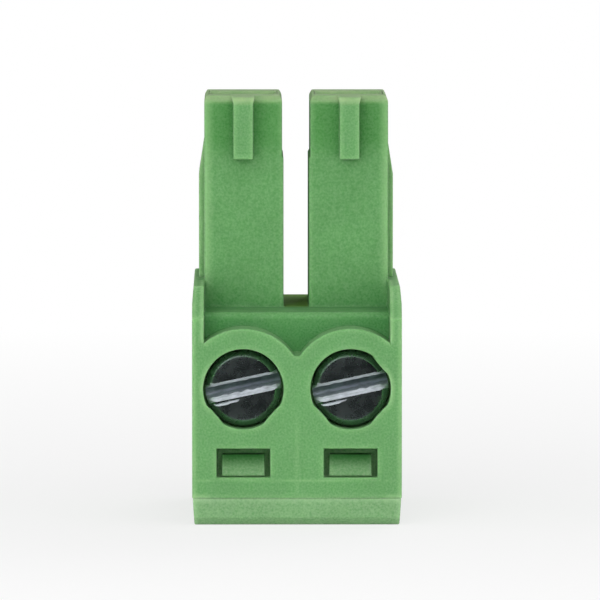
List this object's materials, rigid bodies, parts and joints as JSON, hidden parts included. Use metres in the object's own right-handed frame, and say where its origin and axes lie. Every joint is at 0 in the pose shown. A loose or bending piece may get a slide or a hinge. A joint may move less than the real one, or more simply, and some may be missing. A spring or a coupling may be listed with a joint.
{
  "type": "screw terminal block",
  "caption": "Pluggable screw terminal block: green moulded housing with hollow contact fingers, snap-in wire cover, and slotted clamp screws that lift cages to grip the wires.",
  "frame": {"origin": "middle of the wire face, the plane the block stands on with its contact fingers up", "axes": "+Z from the wire face up to the finger tips, +X across the poles, -Y out of the screw face"},
  "size_m": [0.0074, 0.011, 0.0151],
  "materials": {
    "moulding": "moulded polyamide with a fine satin grain",
    "screw_steel": "dark zinc plating, bright where the slot is worn",
    "cage_brass": "nickel plating",
    "contact_bronze": "tin plating"
  },
  "bodies": {
    "block": {"housing": "moulding", "wire_cover": "moulding", "left_contact": "contact_bronze", "right_contact": "contact_bronze"},
    "left_screw_body": {"left_screw": "screw_steel"},
    "right_screw_body": {"right_screw": "screw_steel"},
    "left_cage_body": {"left_cage": "cage_brass"},
    "right_cage_body": {"right_cage": "cage_brass"}
  },
  "joints": [
    {"name": "left_screw_turn", "type": "hinge", "parent": "block", "child": "left_screw_body", "pos_m": [-0.00191, -0.004, 0.00486], "axis": [0, 1, 0], "range_deg": [0, 1980]},
    {"name": "right_screw_turn", "type": "hinge", "parent": "block", "child": "right_screw_body", "pos_m": [0.00191, -0.004, 0.00486], "axis": [0, 1, 0], "range_deg": [0, 1980]},
    {"name": "left_cage_lift", "type": "slide", "parent": "block", "child": "left_cage_body", "axis": [0, -1, 0], "range_m": [0, 0.0022]},
    {"name": "right_cage_lift", "type": "slide", "parent": "block", "child": "right_cage_body", "axis": [0, -1, 0], "range_m": [0, 0.0022]}
  ],
  "couplings": [
    {"joint": "left_screw_turn", "follows": "left_cage_lift", "rad_per_m": 15708},
    {"joint": "right_screw_turn", "follows": "right_cage_lift", "rad_per_m": 15708}
  ]
}
